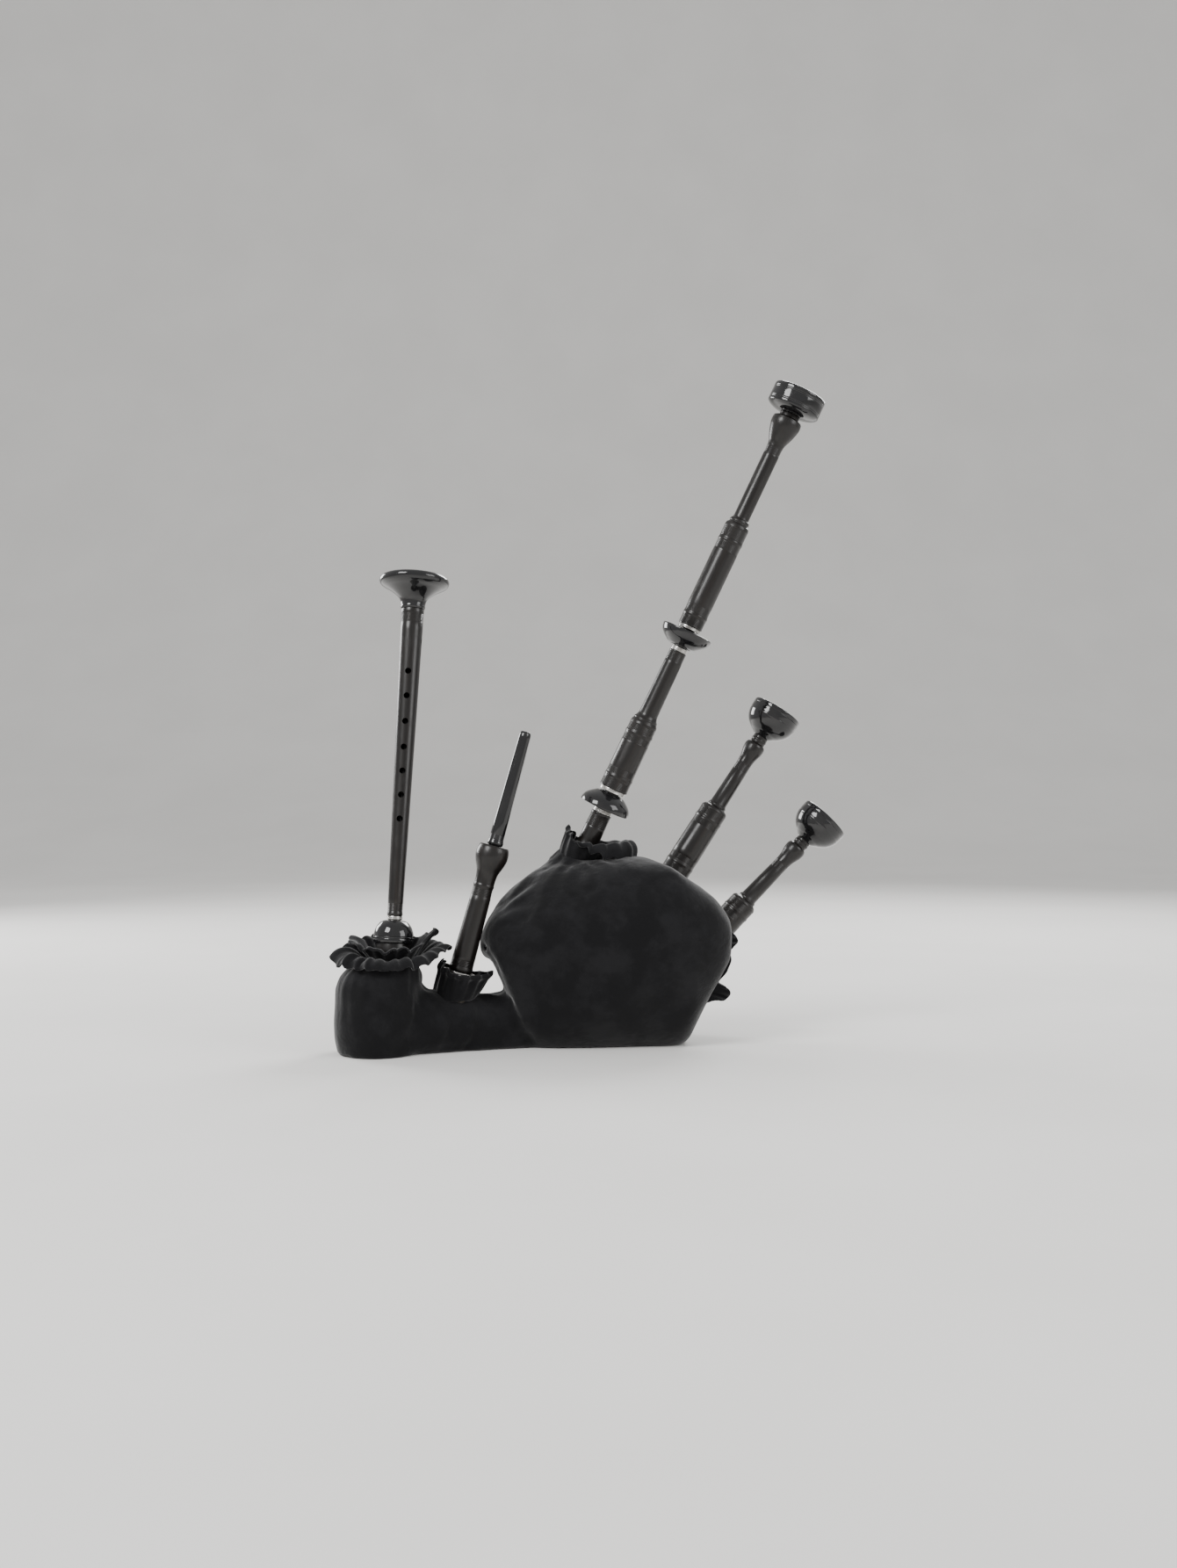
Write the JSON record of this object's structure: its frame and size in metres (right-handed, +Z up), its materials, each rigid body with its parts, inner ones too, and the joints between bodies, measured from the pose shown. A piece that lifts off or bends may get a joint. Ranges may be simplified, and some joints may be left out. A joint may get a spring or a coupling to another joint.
{
  "type": "great highland bagpipes",
  "caption": "Mouth-blown bagpipe with a filled cloth-covered bag, conical chanter, blowpipe, long bass drone and paired tenor drones on tuning slides.",
  "frame": {"origin": "on the flat underside of the bag cover, under the middle of the bag", "axes": "+Z up, out of the surface it rests on; +X from the chanter towards the end seam of the bag and the tenor drones; -Y is the side that faces a viewer"},
  "size_m": [0.5444, 0.2268, 0.6995],
  "materials": {
    "blackwood": "oiled African blackwood, near black, satin polish with a fine straight grain",
    "horn": "polished black horn or imitation ebony",
    "nickel": "dull nickel, turned and lightly worn",
    "velvet": "black velvet pile",
    "leather": "dark seasoned hide",
    "hemp": "waxed hemp thread, wound",
    "cane": "dry cane",
    "rubber": "soft black rubber"
  },
  "bodies": {
    "bag": {"bag_cover": "velvet", "bass_frill": "velvet", "bass_stock": "blackwood", "bass_stock_binding": "hemp", "bass_stock_ring": "nickel", "blowpipe_frill": "velvet", "blowpipe_stock": "blackwood", "blowpipe_stock_binding": "hemp", "blowpipe_stock_ring": "nickel", "chanter_frill": "velvet", "chanter_stock": "blackwood", "chanter_stock_binding": "hemp", "chanter_stock_cap": "horn", "leather_bag": "leather", "seam_frill": "velvet", "tenor_1_stock": "blackwood", "tenor_1_stock_binding": "hemp", "tenor_1_stock_ring": "nickel", "tenor_2_stock": "blackwood", "tenor_2_stock_binding": "hemp", "tenor_2_stock_ring": "nickel"},
    "bass_bottom": {"bass_bottom_joint": "blackwood", "bass_bottom_ring": "nickel", "bass_bottom_mount": "horn", "bass_bottom_hemp": "hemp", "bass_reed": "cane"},
    "bass_middle": {"bass_middle_joint": "blackwood", "bass_middle_ferrule": "nickel", "bass_middle_ring": "nickel", "bass_middle_mount": "horn", "bass_middle_hemp": "hemp"},
    "bass_top": {"bass_top_joint": "blackwood", "bass_top_ferrule": "nickel", "bass_top_cap": "horn", "bass_top_bush": "nickel"},
    "chanter": {"chanter_tube": "blackwood", "chanter_sole": "horn", "chanter_ferrule": "nickel", "chanter_reed_staple": "nickel", "chanter_reed_blades": "cane"},
    "blowpipe": {"blowpipe_stick": "blackwood", "valve_seat": "rubber"},
    "mouthpiece": {"mouthpiece": "horn", "mouthpiece_hemp": "hemp"},
    "valve": {"valve_flap": "leather"},
    "tenor_1_bottom": {"tenor_1_bottom_joint": "blackwood", "tenor_1_mount": "horn", "tenor_1_hemp": "hemp", "tenor_1_reed": "cane"},
    "tenor_1_top": {"tenor_1_top_joint": "blackwood", "tenor_1_ferrule": "nickel", "tenor_1_cup": "horn"},
    "tenor_2_bottom": {"tenor_2_bottom_joint": "blackwood", "tenor_2_mount": "horn", "tenor_2_hemp": "hemp", "tenor_2_reed": "cane"},
    "tenor_2_top": {"tenor_2_top_joint": "blackwood", "tenor_2_ferrule": "nickel", "tenor_2_cup": "horn"}
  },
  "joints": [
    {"name": "bass_turn", "type": "hinge", "parent": "bag", "child": "bass_bottom", "pos_m": [-0.0031, -0.0158, 0.2071], "axis": [0.4264, -0.0548, 0.9029], "continuous": true},
    {"name": "bass_lower_slide", "type": "slide", "parent": "bass_bottom", "child": "bass_middle", "axis": [0.4264, -0.0548, 0.9029], "range_m": [-0.0009, 0.03]},
    {"name": "bass_upper_slide", "type": "slide", "parent": "bass_middle", "child": "bass_top", "axis": [0.4264, -0.0548, 0.9029], "range_m": [-0.0009, 0.03]},
    {"name": "tenor_1_turn", "type": "hinge", "parent": "bag", "child": "tenor_1_bottom", "pos_m": [0.0778, 0.029, 0.1515], "axis": [0.5416, 0.0698, 0.8377], "continuous": true},
    {"name": "tenor_1_slide", "type": "slide", "parent": "tenor_1_bottom", "child": "tenor_1_top", "axis": [0.5416, 0.0698, 0.8377], "range_m": [-0.0009, 0.03]},
    {"name": "tenor_2_turn", "type": "hinge", "parent": "bag", "child": "tenor_2_bottom", "pos_m": [0.0926, 0.029, 0.0633], "axis": [0.6983, 0.0698, 0.7123], "continuous": true},
    {"name": "tenor_2_slide", "type": "slide", "parent": "tenor_2_bottom", "child": "tenor_2_top", "axis": [0.6983, 0.0698, 0.7123], "range_m": [-0.0009, 0.03]},
    {"name": "chanter_turn", "type": "hinge", "parent": "bag", "child": "chanter", "pos_m": [-0.1992, -0.0906, 0.135], "axis": [0.0428, 0.1379, 0.9895], "continuous": true},
    {"name": "blowpipe_turn", "type": "hinge", "parent": "bag", "child": "blowpipe", "pos_m": [-0.1331, -0.0728, 0.0806], "axis": [0.2624, 0.0495, 0.9637], "continuous": true},
    {"name": "mouthpiece_turn", "type": "hinge", "parent": "blowpipe", "child": "mouthpiece", "pos_m": [-0.1331, -0.0728, 0.0806], "axis": [0.2624, 0.0495, 0.9637], "continuous": true},
    {"name": "valve_hinge", "type": "hinge", "parent": "blowpipe", "child": "valve", "pos_m": [-0.14794, -0.07434, 0.05235], "axis": [-0.013, 0.9988, -0.0478], "range_deg": [0, 55], "stiffness_Nm_per_rad": 0.002}
  ]
}
